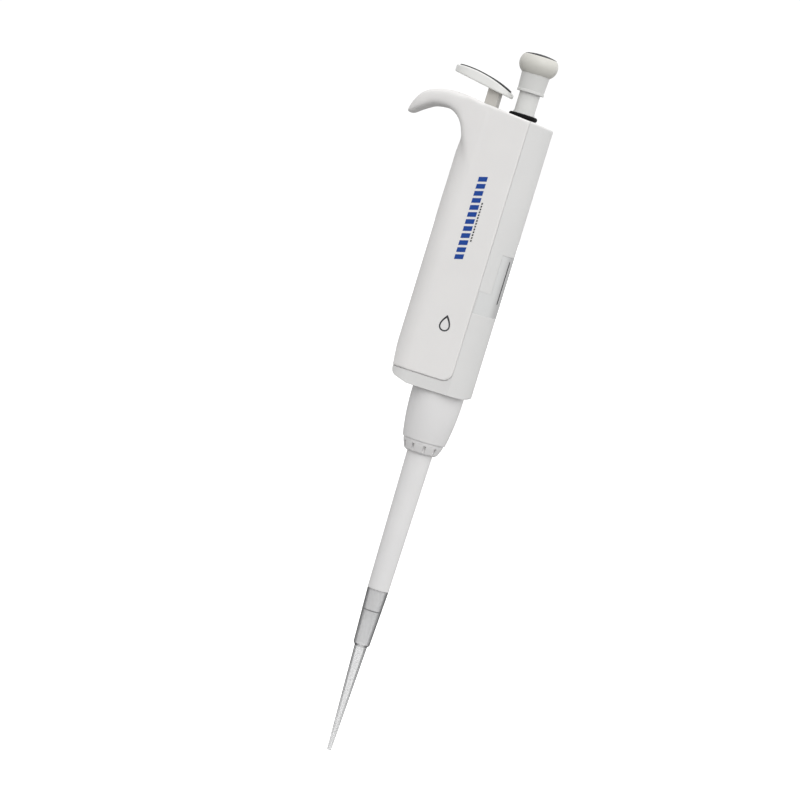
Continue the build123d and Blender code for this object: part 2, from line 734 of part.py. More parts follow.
def handle_side(inset=0.0):
    """The handle's outline from the side, without the hook."""
    low = HANDLE_LOW_Z + inset
    front = HANDLE_FRONT_R - inset
    outline = Polyline(
        (HEEL_START_X, low),
        (HEEL_X + inset, HEEL_Z + inset),
        (BACK_X + inset, HEEL_TOP_Z),
        (BACK_X + inset, HANDLE_TOP_LEFT_Z + BACK_TOP_RISE - inset),
        (HANDLE_TOP_LEFT_X, HANDLE_TOP_LEFT_Z - inset),
        (front, HANDLE_TOP_RIGHT_Z - inset),
        (front, low + TOE_HEIGHT),
        (front - TOE_DEPTH, low),
        close=True,
    )
    face = make_face(outline)
    heel = face.vertices().sort_by_distance((HEEL_X + inset, HEEL_Z + inset))[0]
    return fillet(heel, HEEL_R - inset)


def hook_point(angle):
    """A point of the round hollow under the hook, at an angle in degrees from +X."""
    turn = math.radians(angle)
    return (
        HOOK_ROUND_X + HOOK_INNER_R * math.cos(turn),
        HOOK_ROUND_Z + HOOK_INNER_R * math.sin(turn),
    )


def hook_side():
    """The finger hook's outline from the side, running into the handle."""
    lip, root = hook_point(HOOK_LIP_ANGLE), hook_point(HOOK_ROOT_ANGLE)
    top = (HANDLE_TOP_LEFT_X, HANDLE_TOP_LEFT_Z)
    back = Spline(top, *HOOK_BACK)
    tip = ThreePointArc(HOOK_BACK[-1], *HOOK_TIP)
    inner = Line(HOOK_TIP[-1], lip) + ThreePointArc(lip, hook_point(90), root)
    rest = Polyline(
        root, (HOOK_INSIDE_X, HOOK_GUSSET_Z), (HOOK_INSIDE_X, HOOK_INSIDE_TOP_Z), top
    )
    return make_face(back + tip + inner + rest)


def hook_plan():
    """The finger hook's outline from above: as wide as the handle, narrowing to a round end."""
    left = Spline(*HOOK_PLAN, (HOOK_LENGTH_X, 0), *[(x, -y) for x, y in reversed(HOOK_PLAN)])
    return make_face(left + Line((HOOK_PLAN[0][0], -HOOK_PLAN[0][1]), HOOK_PLAN[0]))


def tall(face, low=HANDLE_LOW_Z - REACH, high=HANDLE_TOP_LEFT_Z + REACH):
    """A section drawn on XY, run along the handle."""
    return Pos(0, 0, low) * extrude(face, high - low)


def across(face, half_width=REACH):
    """A side outline drawn on XZ, run across the handle."""
    return extrude(Plane.XZ * face, half_width, both=True)


def finger_hook():
    body = across(hook_side()) & tall(hook_plan())
    outside = body.edges().filter_by(lambda edge: edge.center().X < HANDLE_TOP_LEFT_X)
    return fillet(outside.filter_by(lambda edge: abs(edge.center().Y) > HOOK_EDGE), HOOK_EDGE)


def handle_cavity():
    """The hollow for the mechanism, with its supporting ribs left standing."""
    hollow = tall(handle_section(WALL), HANDLE_LOW_Z - CUT, TOP_WALL_Z)
    hollow = hollow & across(handle_side(WALL))
    hollow += disc(COUNTER_WELL_R, HOUSING_TOP_Z, RIB_ZS[1][0])
    for (low, high), hole in zip(RIB_ZS, RIB_HOLES):
        hollow -= block(-REACH, REACH, REACH, low, high)
        hollow += disc(hole, low - CUT, high + CUT)
        hollow += disc(RIB_ROD_HOLE_R, low - CUT, high + CUT, ROD_X)
    hollow += disc(SKIRT_WELL_R, HANDLE_LOW_Z - CUT, RIB_ZS[0][0])
    hollow += disc(CIRCLIP_R + SEAT, CIRCLIP_LOW_Z - SEAT, CIRCLIP_HIGH_Z + SEAT)
    return hollow


def stem_hole():
    """The opening that the ejector button's stem slides in."""
    left, right = STEM_LEFT_X - STEM_HOLE_GAP, STEM_RIGHT_X + STEM_HOLE_GAP
    half_width = STEM_HALF_WIDTH + STEM_HOLE_GAP
    return block(left, right, half_width, STEM_LOW_Z - EJECT_TRAVEL - CUT, STEM_TOP_Z)


def cover_region(margin=0.0):
    """Everything above and behind the grip cover's front and lower edges."""
    width, height = REACH, 3 * REACH
    centre = Pos(COVER_FRONT_X + margin - width / 2, COVER_LOW_Z - margin + height / 2)
    return across(centre * RectangleRounded(width, height, COVER_CORNER_R + margin))


def grip_cover():
    """The outer moulding: both flanks, the back and the finger hook."""
    body = (rounded_column() & cover_region()) + finger_hook()
    body -= tall(handle_section(COVER_THICK))
    return body - finger_round()


def finger_round():
    """The round hollow under the hook, cut through the handle's back as well."""
    return Pos(HOOK_ROUND_X, 0, HOOK_ROUND_Z) * Rot(90, 0, 0) * Cylinder(HOOK_INNER_R, REACH)


def window_lens():
    """The clear cover: a wide lower band and a narrower stretch in front of the drums."""
    outer, inner = CORE_FRONT_R, CORE_FRONT_R - LENS_THICK
    wide = sector(outer, inner, LENS_WIDE_ANGLE, LENS_LOW_Z, LENS_STEP_Z)
    return wide + sector(outer, inner, LENS_NARROW_ANGLE, LENS_LOW_Z, LENS_TOP_Z)


def lens_seat():
    """The recess that the window sits in, with a small gap all round."""
    outer, inner = CORE_FRONT_R + CUT, CORE_FRONT_R - LENS_THICK - SEAT
    low, high = LENS_LOW_Z - SEAT, LENS_TOP_Z + SEAT
    wide = sector(outer, inner, LENS_WIDE_ANGLE + LENS_GAP_ANGLE, low, LENS_STEP_Z)
    return wide + sector(outer, inner, LENS_NARROW_ANGLE + LENS_GAP_ANGLE, low, high)


def display_bezel():
    outer = CORE_FRONT_R - LENS_THICK - SEAT
    inner = outer - BEZEL_THICK
    body = sector(outer, inner, BEZEL_ANGLE, BEZEL_LOW_Z, BEZEL_TOP_Z)
    return body - sector(outer + CUT, inner - CUT, SLOT_ANGLE, SLOT_LOW_Z, SLOT_TOP_Z)


def rounded_column(inset=0.0):
    """The handle without its hook, its top edge rounded."""
    body = tall(handle_section(inset)) & across(handle_side())
    top = body.edges().filter_by(lambda edge: edge.center().Z > HANDLE_TOP_RIGHT_Z - RIM_ROUND)
    return fillet(top.filter_by(lambda edge: abs((edge % 0.5).Z) < STEEP), RIM_ROUND)


def bezel_seat():
    """The opening behind the window that the bezel and the number drums show through."""
    outer, inner = CORE_FRONT_R - LENS_THICK, COUNTER_WELL_R - CUT
    return sector(outer, inner, BEZEL_SEAT_ANGLE, BEZEL_LOW_Z - SEAT, BEZEL_TOP_Z + SEAT)


def handle_shell():
    """The inner moulding: the round front, the ends and the hollow for the mechanism."""
    body = rounded_column(CORE_INSET)
    body -= cover_region(SEAT) - tall(handle_section(COVER_THICK + SEAT))
    body -= handle_cavity()
    body -= disc(BUSH_R, TOP_WALL_Z - CUT, BUSH_TOP_Z + CUT)
    body -= disc(BUSH_FLANGE_R + SEAT, BUSH_FLANGE_Z, BUSH_TOP_Z + CUT)
    return body - stem_hole() - lens_seat() - bezel_seat()


NODES = {
    "handle_shell": handle_shell,
    "grip_cover": grip_cover,
    "window_lens": window_lens,
    "display_bezel": display_bezel,
    "top_bush": top_bush,
    "collar_ring": collar_ring,
    "thumb_button": thumb_button,
    "button_inlay": button_inlay,
    "button_skirt": button_skirt,
    "drive_sleeve": drive_sleeve,
    "plunger_rod": plunger_rod,
    "stop_collar": stop_collar,
    "piston": piston,
    "primary_spring": primary_spring,
    "blowout_washer": blowout_washer,
    "blowout_spring": blowout_spring,
    "spring_housing": spring_housing,
    "housing_circlip": housing_circlip,
    "cylinder_shaft": cylinder_shaft,
    "cylinder_nut": cylinder_nut,
    "piston_seal": piston_seal,
    "seal_o_ring": seal_o_ring,
    "seal_retainer": seal_retainer,
    "drive_hub": drive_hub,
    "hub_bearing": hub_bearing,
    "click_spring": click_spring,
    "volume_screw": volume_screw,
    "volume_nut": volume_nut,
    "counter_frame": counter_frame,
    "units_drum": lambda: number_drum(0, HUB_R),
    "tens_drum": lambda: number_drum(1, HUB_R + RUN),
    "hundreds_drum": lambda: number_drum(2, HUB_R + RUN),
    "thousands_drum": lambda: number_drum(3, HUB_R + RUN),
    "ejector_button": ejector_button,
    "ejector_inlay": ejector_inlay,
    "ejector_stem": ejector_stem,
    "ejector_rod": ejector_rod,
    "rod_clip": rod_clip,
    "ejector_spring": ejector_spring,
    "ejector_foot": ejector_foot,
    "lock_ring": lock_ring,
    "ejector_sleeve": ejector_sleeve,
    "pipette_tip": pipette_tip,
}

os.makedirs("parts", exist_ok=True)
for node, make in NODES.items():
    export_step(make(), f"parts/{node}.step")
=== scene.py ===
import math

import bpy
import numpy as np
from mathutils import Matrix, Vector


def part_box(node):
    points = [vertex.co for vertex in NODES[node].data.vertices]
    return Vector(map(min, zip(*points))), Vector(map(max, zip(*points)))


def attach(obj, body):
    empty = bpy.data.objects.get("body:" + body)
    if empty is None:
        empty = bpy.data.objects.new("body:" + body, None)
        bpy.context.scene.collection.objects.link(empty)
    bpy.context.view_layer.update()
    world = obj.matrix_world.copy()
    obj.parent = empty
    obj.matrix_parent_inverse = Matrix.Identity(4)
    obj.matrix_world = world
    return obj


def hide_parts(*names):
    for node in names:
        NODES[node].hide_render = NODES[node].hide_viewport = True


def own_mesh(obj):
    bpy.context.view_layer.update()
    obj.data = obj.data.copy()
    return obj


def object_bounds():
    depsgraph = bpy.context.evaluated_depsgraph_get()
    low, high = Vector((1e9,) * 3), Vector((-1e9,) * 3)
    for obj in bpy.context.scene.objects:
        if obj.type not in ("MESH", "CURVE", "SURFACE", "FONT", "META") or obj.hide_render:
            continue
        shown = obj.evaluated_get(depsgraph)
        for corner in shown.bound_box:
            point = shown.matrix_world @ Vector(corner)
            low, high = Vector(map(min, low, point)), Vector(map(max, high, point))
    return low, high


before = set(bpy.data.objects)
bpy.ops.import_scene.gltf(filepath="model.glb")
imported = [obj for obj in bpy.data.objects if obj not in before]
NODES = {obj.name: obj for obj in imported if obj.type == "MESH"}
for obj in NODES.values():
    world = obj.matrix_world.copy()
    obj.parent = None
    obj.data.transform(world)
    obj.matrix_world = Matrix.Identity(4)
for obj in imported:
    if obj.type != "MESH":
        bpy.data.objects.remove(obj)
CAD_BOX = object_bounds()

# The adjustable micropipette, dressed for rendering. Lengths in this script are millimetres, turned
# into metres by MM, and angles are degrees. +Z runs up the piston's axis and +X faces the number
# window. The near flank, which the camera sees, faces -Y.

MM = 0.001
WHITE = (1.0, 1.0, 1.0, 1.0)

# Camera: how far it stands round from -Y towards +X and above level, how far the pipette leans in the
# picture, the point it aims at, as a distance right of the piston's axis and a height, and where its
# view begins and ends
VIEW_AZIMUTH = 10.0
VIEW_ELEVATION = 4.0
VIEW_ROLL = 17.0
VIEW_DISTANCE = 1297.0
VIEW_LENS = 140.0
VIEW_TARGET_RIGHT = -14.4
VIEW_TARGET_Z = 149.6
VIEW_CLIP = (50.0, 60000.0)

# White surround: its strength to the camera, its weakest and strongest to the object, and the mix of
# directions towards its strong side: the camera's right, towards the camera, and up
WORLD_SEEN = 1.05
WORLD_DIM = 0.57
WORLD_BRIGHT = 1.34
WORLD_RIGHT = 0.6
WORLD_FRONT = 1.0
WORLD_UP = 1.1

# Key light, its power in watts, and the floor
KEY_POWER = 3.5
KEY_PLACE = (550.0, -1100.0, 950.0)
KEY_SIZE = 900.0
FLOOR_SHADE = 0.28
FLOOR_ROUGHNESS = 0.8
FLOOR_REACH = 20000.0
FLOOR_GAP = 0.2

# Procedural unevenness. A scale is in features per metre, and a drift is how far a value may move.
NOISE_RANGE = (0.3, 0.7)
COLOUR_SCALE = 35.0
COLOUR_DRIFT = (0.975, 1.015)
GLOSS_SCALE = 160.0
GLOSS_DRIFT = 0.05
GRAIN_SCALE = 2500.0
GRAIN_DETAIL = 2.0
GRAIN_STRENGTH = 0.25
STREAK_SCALE = 900.0
STREAK_STRETCH = (0.05, 0.05, 1.0)
STREAK_DRIFT = (0.85, 1.05)
STREAK_GLOSS_DRIFT = 0.07
STREAK_DEPTH = 0.006
STREAK_STRENGTH = 0.2
CLEAR_SCALE = 220.0
CLEAR_DRIFT = 0.03
WAVE_SCALE = 350.0
WAVE_DETAIL = 1.0
WAVE_DEPTH = 0.02
WAVE_STRENGTH = 0.2

# Plastic: how far moulded edges look rounded, and how light bends in it and glows through it
EDGE_SOFTNESS = 0.35
EDGE_SAMPLES = 4
PLASTIC_IOR = 1.49
COAT_ROUGHNESS = 0.15
GLOW_DEPTH = 1.2
GLOW_COLOUR = (1.0, 0.95, 0.9)

# Clear plastic: how far it faces away where it is densest and its painted rim shade is darkest, the strip
# of the window that stays clear, and the heights between which the tip thickens from its cone's share of
# the full density
RIM_FULL = 0.62
WINDOW_CLEAR_HALF = 3.95
WINDOW_CLEAR_LOW = 197.8
TIP_CONE_Z = (44.0, 47.5)
TIP_CONE_SHARE = 0.60

# Inlays: how much fuller than the CAD each looks, and how close CAD points are joined first
INLAY_SWELL = {"button_inlay": 0.35, "ejector_inlay": 0.22}
WELD_GAP = 0.001

# Grip cover: an even skin over the CAD solid, smoothed lightly without shrinking it
SKIN_VOXEL = 0.5
SKIN_ROUNDS = 4
SKIN_IN = 0.5
SKIN_OUT = -0.53

# Its hook and the hook's root, smoothed more: where the smoothing sets in, and its share at the end
HOOK_ROUNDS = 44
HOOK_SHARE = 0.5
HOOK_FADE_X = (-21.0, -25.0)
ROOT_FADE_X = (-13.0, -18.0)
ROOT_FADE_LOW_Z = (236.0, 244.0)
ROOT_FADE_HIGH_Z = (270.0, 265.0)
HOOK_END_SHARE = 0.25
HOOK_END_FADE_X = (-47.5, -42.0)

# Its hook's shape: how far the underside is lifted and the end dropped, and from where. A point is on
# the underside when its normal's height is below UNDERSIDE_NORMAL.
UNDERSIDE_NORMAL = 0.5
HOOK_LIFT = 1.6
HOOK_LIFT_X = (-33.0, -41.0)
HOOK_DROP = 1.5
HOOK_DROP_X = (-42.0, -47.0)

# Coil springs, each as (CAD node, wire radius, turns, dead turns, joint, share left at full travel)
SPRINGS = (
    ("primary_spring", 0.4, 8.0, 1.0, "plunger_press", 0.464),
    ("blowout_spring", 0.5, 4.5, 0.75, "blowout_travel", 0.77),
    ("ejector_spring", 0.3, 11.0, 1.0, "ejector_press", 0.724),
)
COIL_STEPS_PER_TURN = 36
WIRE_SIDES = 10

# Prints, all of them generic marks: a row of bars, a row of dashes and a drop on the near flank,
# and two lines on the window; also a line of painted shade round the tip where the nozzle ends inside it
PRINT_AND_SHADE_LIFT = 0.05
ROUND_STEPS = 40
BAR_COUNT = 12
BAR_LOW_Z = 212.6
BAR_PITCH = 3.02
BAR_WIDTH = 2.05
BAR_X = (-8.0, -4.4)
BAR_SLANT = 0.28
DASH_COUNT = 14
DASH_LOW_Z = 221.3
DASH_PITCH = 1.22
DASH_WIDTH = 0.8
DASH_X = (-3.75, -3.15)
DROP_X = -3.6
DROP_Z = 186.3
DROP_HEIGHT = 7.0
DROP_WIDTH = 4.6
DROP_FULLNESS = 0.65
DROP_HOLE = 0.74
DROP_HOLE_SINK = 0.25
NOZZLE_SHADE_WIDTH = 0.35
SIGHT_ANGLE = 16.9
SIGHT_HALF_ANGLE = 1.6
SIGHT_Z = (199.6, 217.9)

# Number drums: the digits round each, their height, and its share of the font's size
DIGITS = 10
DIGIT_HEIGHT = 3.3
DIGIT_SHARE = 0.73
DIGIT_STEPS = 4
DIGIT_LIFT = 0.02


# ---- Frame measures ----


def low(node):
    """Lowest corner of a CAD node in millimetres."""
    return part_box(node)[0] / MM


def high(node):
    """Highest corner of a CAD node in millimetres."""
    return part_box(node)[1] / MM


# ---- Shader nodes ----


def feed(tree, node, values):
    """Sets a node's inputs, each to another node's output or to a plain value."""
    for key, value in values.items():
        if isinstance(value, bpy.types.NodeSocket):
            tree.links.new(value, node.inputs[key])
        else:
            node.inputs[key].default_value = value


def maths(tree, operation, first, second=0.0):
    """A maths operation on one or two values."""
    node = tree.nodes.new("ShaderNodeMath")
    node.operation = operation
    feed(tree, node, {0: first, 1: second})
    return node.outputs["Value"]


def mapped(tree, value, source, target, interpolation="LINEAR"):
    """Maps a value from its source range onto a target range."""
    node = tree.nodes.new("ShaderNodeMapRange")
    node.interpolation_type = interpolation
    limits = dict(zip(("From Min", "From Max", "To Min", "To Max"), (*source, *target)))
    feed(tree, node, {"Value": value, **limits})
    return node.outputs["Result"]


def noise(tree, scale, detail=3.0, stretch=(1.0, 1.0, 1.0)):
    """Noise in object space, from 0 to 1."""
    place = tree.nodes.new("ShaderNodeTexCoord")
    stretched = tree.nodes.new("ShaderNodeMapping")
    feed(tree, stretched, {"Vector": place.outputs["Object"], "Scale": stretch})
    texture = tree.nodes.new("ShaderNodeTexNoise")
    feed(tree, texture, {"Vector": stretched.outputs["Vector"], "Scale": scale, "Detail": detail})
    return texture.outputs["Fac"]


def drifting(tree, value, middle, drift):
    """A value that moves either way from its middle as noise does."""
    return mapped(tree, value, NOISE_RANGE, (middle - drift, middle + drift))


def mix_colours(tree, value, first, second):
    """A colour between two colours."""
    mixer = tree.nodes.new("ShaderNodeMix")
    mixer.data_type = "RGBA"
    feed(tree, mixer, {"Factor": value, "A": (*first, 1.0), "B": (*second, 1.0)})
    return mixer.outputs["Result"]


def tinted(colour, factor):
    """A colour made darker or lighter."""
    return tuple(channel * factor for channel in colour)


def drifting_colour(tree, value, colour, factors):
    """A colour between its darkest and lightest tint."""
    darkest, lightest = factors
    return mix_colours(tree, value, tinted(colour, darkest), tinted(colour, lightest))


def soft_edges(tree):
    """A normal that rounds sharp moulded edges."""
    node = tree.nodes.new("ShaderNodeBevel")
    node.samples = EDGE_SAMPLES
    feed(tree, node, {"Radius": EDGE_SOFTNESS * MM})
    return node.outputs["Normal"]


def bump(tree, height, depth, strength):
    """A bump node from a height value from 0 to 1 and its depth in millimetres."""
    node = tree.nodes.new("ShaderNodeBump")
    feed(tree, node, {"Height": height, "Distance": depth * MM, "Strength": strength})
    return node


def object_place(tree):
    """The outputs X, Y and Z of a point in object space."""
    place = tree.nodes.new("ShaderNodeTexCoord")
    split = tree.nodes.new("ShaderNodeSeparateXYZ")
    feed(tree, split, {"Vector": place.outputs["Object"]})
    return split.outputs


def camera_sees(tree):
    """1 for what the camera sees directly, 0 for all other light."""
    return tree.nodes.new("ShaderNodeLightPath").outputs["Is Camera Ray"]


# ---- Materials ----


def new_material(name):
    """A node material with its tree and its shader."""
    material = bpy.data.materials.new(name)
    material.use_nodes = True
    return material, material.node_tree, material.node_tree.nodes["Principled BSDF"]


def plastic(name, colour, roughness, grain=0.02, glow=0.0, coat=0.0, shine=0.5):
    """Moulded plastic: slightly uneven colour, patchy gloss and a fine moulded grain."""
    material, tree, shader = new_material(name)
    drift = mapped(tree, noise(tree, COLOUR_SCALE), NOISE_RANGE, (0.0, 1.0))
    surface = bump(tree, noise(tree, GRAIN_SCALE, GRAIN_DETAIL), grain, GRAIN_STRENGTH)
    feed(tree, surface, {"Normal": soft_edges(tree)})
    feed(tree, shader, {
        "Base Color": drifting_colour(tree, drift, colour, COLOUR_DRIFT),
        "Roughness": drifting(tree, noise(tree, GLOSS_SCALE), roughness, GLOSS_DRIFT),
        "Normal": surface.outputs["Normal"],
        "IOR": PLASTIC_IOR,
        "Specular IOR Level": shine,
        "Coat Weight": coat,
        "Coat Roughness": COAT_ROUGHNESS,
        "Subsurface Weight": glow,
        "Subsurface Radius": GLOW_COLOUR,
        "Subsurface Scale": GLOW_DEPTH * MM,
    })
    return material


def metal(name, colour, roughness):
    """Turned or drawn metal with fine streaks round its axis."""
    material, tree, shader = new_material(name)
    streaks = noise(tree, STREAK_SCALE, GRAIN_DETAIL, STREAK_STRETCH)
    surface = bump(tree, streaks, STREAK_DEPTH, STREAK_STRENGTH)
    feed(tree, shader, {
        "Metallic": 1.0,
        "Base Color": drifting_colour(tree, streaks, colour, STREAK_DRIFT),
        "Roughness": drifting(tree, streaks, roughness, STREAK_GLOSS_DRIFT),
        "Normal": surface.outputs["Normal"],
    })
    return material


def milky_window(tree, density):
    """Full density beside and below the window's clear strip."""
    place = object_place(tree)
    beside = maths(tree, "GREATER_THAN", maths(tree, "ABSOLUTE", place["Y"]), WINDOW_CLEAR_HALF * MM)
    below = maths(tree, "LESS_THAN", place["Z"], WINDOW_CLEAR_LOW * MM)
    return maths(tree, "MAXIMUM", density, maths(tree, "MAXIMUM", beside, below))


def milky_tip(tree, density):
    """Less density in the tip's thin cone, and all of it above."""
    heights = [height * MM for height in TIP_CONE_Z]
    share = mapped(tree, object_place(tree)["Z"], heights, (TIP_CONE_SHARE, 1.0))
    return maths(tree, "MULTIPLY", density, share)


def clear_plastic(name, colour, rim_shade_colour, density, rim_density, rim_start, roughness, milky):
    """Thin clear plastic: denser towards its outline and darker there with painted shade, and denser where
    milky says so.
    """
    material, tree, shader = new_material(name)
    layer = tree.nodes.new("ShaderNodeLayerWeight")
    rim = mapped(tree, layer.outputs["Facing"], (rim_start, RIM_FULL), (0.0, 1.0), "SMOOTHSTEP")
    flow = drifting(tree, noise(tree, CLEAR_SCALE), density, CLEAR_DRIFT)
    thickness = mapped(tree, rim, (0.0, 1.0), (milky(tree, flow), rim_density))
    surface = bump(tree, noise(tree, WAVE_SCALE, WAVE_DETAIL), WAVE_DEPTH, WAVE_STRENGTH)
    # The colour darkens towards the outline: painted shade for the dark surroundings seen through the
    # edges
    feed(tree, shader, {
        "Base Color": mix_colours(tree, rim, colour, rim_shade_colour),
        "Alpha": maths(tree, "MULTIPLY", thickness, camera_sees(tree)),
        "Roughness": roughness,
        "Normal": surface.outputs["Normal"],
    })
    return material


MATERIALS = {
    "shell": plastic("shell_white", (0.72, 0.717, 0.709), 0.42, glow=0.05),
    "cover": plastic("cover_white", (0.80, 0.788, 0.778), 0.48, grain=0.03, glow=0.05),
    "button": plastic("button_white", (0.80, 0.80, 0.78), 0.33, coat=0.15, glow=0.08),
    "knob": plastic("knob_beige", (0.64, 0.63, 0.585), 0.38, coat=0.1),
    "stem": plastic("stem_grey", (0.52, 0.50, 0.465), 0.4),
    "skirt": plastic("skirt_grey", (0.66, 0.66, 0.645), 0.36, coat=0.1),
    "foot": plastic("foot_white", (0.79, 0.782, 0.78), 0.36, coat=0.1, glow=0.08),
    "inlay": plastic("inlay_grey", (0.030, 0.030, 0.034), 0.5, shine=0.3),
    "black": plastic("black_plastic", (0.006, 0.006, 0.007), 0.4, shine=0.3),
    "rubber": plastic("black_rubber", (0.0025, 0.0025, 0.003), 0.6, grain=0.03, shine=0.12),
    "drum": plastic("drum_white", (0.90, 0.90, 0.885), 0.5),
    "inside": plastic("mechanism_grey", (0.50, 0.51, 0.52), 0.45),
    "digit": plastic("digit_black", (0.004, 0.004, 0.005), 0.6, shine=0.15),
    "blue_print": plastic("blue_print", (0.005, 0.055, 0.31), 0.5, shine=0.3),
    "dark_print": plastic("dark_print", (0.03, 0.03, 0.035), 0.45),
    # Painted shade: the dark line where the nozzle ends inside the tip
    "nozzle_end_shade": plastic("nozzle_end_shade", (0.13, 0.13, 0.135), 0.5),
    # The lens and tip darken towards their outlines with a painted rim shade colour
    "lens": clear_plastic(
        "lens_clear",
        (0.70, 0.705, 0.70),
        rim_shade_colour=(0.54, 0.54, 0.54),
        density=0.12,
        rim_density=0.95,
        rim_start=0.28,
        roughness=0.12,
        milky=milky_window,
    ),
    "tip": clear_plastic(
        "tip_milky",
        (0.56, 0.56, 0.565),
        rim_shade_colour=(0.11, 0.11, 0.112),
        density=0.48,
        rim_density=0.97,
        rim_start=0.27,
        roughness=0.15,
        milky=milky_tip,
    ),
    "steel": metal("steel", (0.60, 0.60, 0.61), 0.3),
    "brass": metal("brass", (0.78, 0.57, 0.26), 0.3),
}

NODE_MATERIALS = {
    "shell": ["handle_shell", "top_bush", "hub_bearing"],
    "cover": ["grip_cover"],
    "button": ["ejector_button"],
    "knob": ["thumb_button"],
    "skirt": ["button_skirt", "drive_sleeve"],
    "stem": ["ejector_stem"],
    "foot": ["ejector_foot", "lock_ring", "ejector_sleeve", "cylinder_shaft"],
    "inlay": ["button_inlay", "ejector_inlay"],
    "black": ["display_bezel"],
    "rubber": ["collar_ring", "seal_o_ring"],
    "drum": ["units_drum", "tens_drum", "hundreds_drum", "thousands_drum", "piston_seal"],
    "inside": ["counter_frame", "spring_housing", "cylinder_nut", "seal_retainer", "drive_hub"],
    "lens": ["window_lens"],
    "tip": ["pipette_tip"],
    "steel": [
        "plunger_rod", "stop_collar", "piston", "primary_spring", "blowout_spring", "ejector_spring",
        "blowout_washer", "housing_circlip", "click_spring", "volume_screw", "ejector_rod", "rod_clip",
    ],
    "brass": ["volume_nut"],
}


def paint(mesh, material):
    """Gives a mesh one material and no other."""
    mesh.materials.clear()
    mesh.materials.append(MATERIALS[material])


def paint_nodes():
    """Gives every CAD node its material."""
    for material, names in NODE_MATERIALS.items():
        for name in names:
            paint(NODES[name].data, material)


def swell_inlays():
    """Makes the two pressed-in inlays look fuller."""
    for name, depth in INLAY_SWELL.items():
        weld = NODES[name].modifiers.new("weld", "WELD")
        weld.merge_threshold = WELD_GAP * MM
        swell = NODES[name].modifiers.new("swell", "DISPLACE")
        swell.mid_level = 0.0
        swell.strength = depth * MM


# ---- Objects and meshes ----


def in_scene(name, data):
    """A new object in the scene."""
    thing = bpy.data.objects.new(name, data)
    bpy.context.scene.collection.objects.link(thing)
    return thing


def add_piece(name, mesh, body, material):
    """A new visible piece that rides on a CAD body."""
    piece = in_scene(name, mesh)
    paint(mesh, material)
    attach(piece, body)
    return piece


def new_mesh(name, vertices, faces):
    """A mesh from its points and faces."""
    mesh = bpy.data.meshes.new(name)
    mesh.from_pydata(vertices, [], faces)
    return mesh


def finished_mesh(thing):
    """The evaluated mesh of a helper object, which is then removed."""
    bpy.context.view_layer.update()
    graph = bpy.context.evaluated_depsgraph_get()
    mesh = bpy.data.meshes.new_from_object(thing.evaluated_get(graph))
    bpy.data.objects.remove(thing)
    return mesh


def ring_faces(rings, sides):
    """The faces between rings of points that follow each other."""
    faces = []
    for start in range(0, (rings - 1) * sides, sides):
        for side in range(sides):
            first = start + side
            second = start + (side + 1) % sides
            faces.append((first, second, second + sides, first + sides))
    return faces


def around(radius, angle, height):
    """A point round the piston's axis, in metres, from millimetres and radians."""
    return Vector((radius * math.cos(angle), radius * math.sin(angle), height)) * MM


def just_proud(node, start, direction):
    """The point where a ray from start, in millimetres, meets a CAD node, lifted back for a print or
    painted shade.
    """
    _, place, _, _ = NODES[node].ray_cast(start * MM, direction)
    return place - direction * PRINT_AND_SHADE_LIFT * MM


def faded(value, start, end):
    """0 at start, 1 at end, with a soft passage between them."""
    share = np.clip((value - start) / (end - start), 0.0, 1.0)
    return share * share * (3 - 2 * share)


# ---- Grip cover ----


def even_skin(node):
    """A copy of a CAD node's mesh with even, small faces."""
    source = NODES[node].data.copy()
    carrier = in_scene("carrier", source)
    remesh = carrier.modifiers.new("even", "REMESH")
    remesh.mode = "VOXEL"
    remesh.voxel_size = SKIN_VOXEL * MM
    remesh.use_smooth_shade = True
    skin = finished_mesh(carrier)
    bpy.data.meshes.remove(source)
    return skin


def mesh_rows(items, attribute, width, kind=float):
    """One row of numbers for each vertex or edge of a mesh."""
    rows = np.empty(len(items) * width, dtype=kind)
    items.foreach_get(attribute, rows)
    return rows.reshape(-1, width)


def smooth(points, edges, share):
    """Moves each point by a share of the way to the middle of its neighbours."""
    total = np.zeros_like(points)
    first, second = edges.T
    for near, far in ((first, second), (second, first)):
        for axis in range(points.shape[1]):
            total[:, axis] += np.bincount(near, points[far, axis], len(points))
    degree = np.bincount(edges.ravel(), minlength=len(points))
    points += share * (total / degree[:, None] - points)


def hook_weight(points):
    """How much each point is smoothed: all of it on the hook and its root, less at the hook's end."""
    x, z = points[:, 0] / MM, points[:, 2] / MM
    hook = faded(x, *HOOK_FADE_X)
    root = faded(x, *ROOT_FADE_X) * faded(z, *ROOT_FADE_LOW_Z) * faded(z, *ROOT_FADE_HIGH_Z)
    end = HOOK_END_SHARE + (1 - HOOK_END_SHARE) * faded(x, *HOOK_END_FADE_X)
    return (np.maximum(hook, root) * end)[:, None]


def bend_hook(points, normals):
    """Thins the hook from below and drops its end."""
    x = points[:, 0] / MM
    underside = np.clip(UNDERSIDE_NORMAL - normals[:, 2], 0.0, 1.0)
    points[:, 2] += HOOK_LIFT * MM * underside * faded(x, *HOOK_LIFT_X)
    points[:, 2] -= HOOK_DROP * MM * faded(x, *HOOK_DROP_X)


def softened_cover():
    """The grip cover with its hook flowing smoothly into the flanks."""
    mesh = even_skin("grip_cover")
    points = mesh_rows(mesh.vertices, "co", 3)
    edges = mesh_rows(mesh.edges, "vertices", 2, np.int32)
    weight = hook_weight(points)
    bend_hook(points, mesh_rows(mesh.vertices, "normal", 3))
    for _ in range(SKIN_ROUNDS):
        smooth(points, edges, SKIN_IN)
        smooth(points, edges, SKIN_OUT)
    for _ in range(HOOK_ROUNDS):
        smooth(points, edges, HOOK_SHARE * weight)
    mesh.vertices.foreach_set("co", points.ravel())
    mesh.update()
    piece = add_piece("grip_cover_skin", mesh, "handle", "cover")
    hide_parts("grip_cover")


# ---- Springs ----


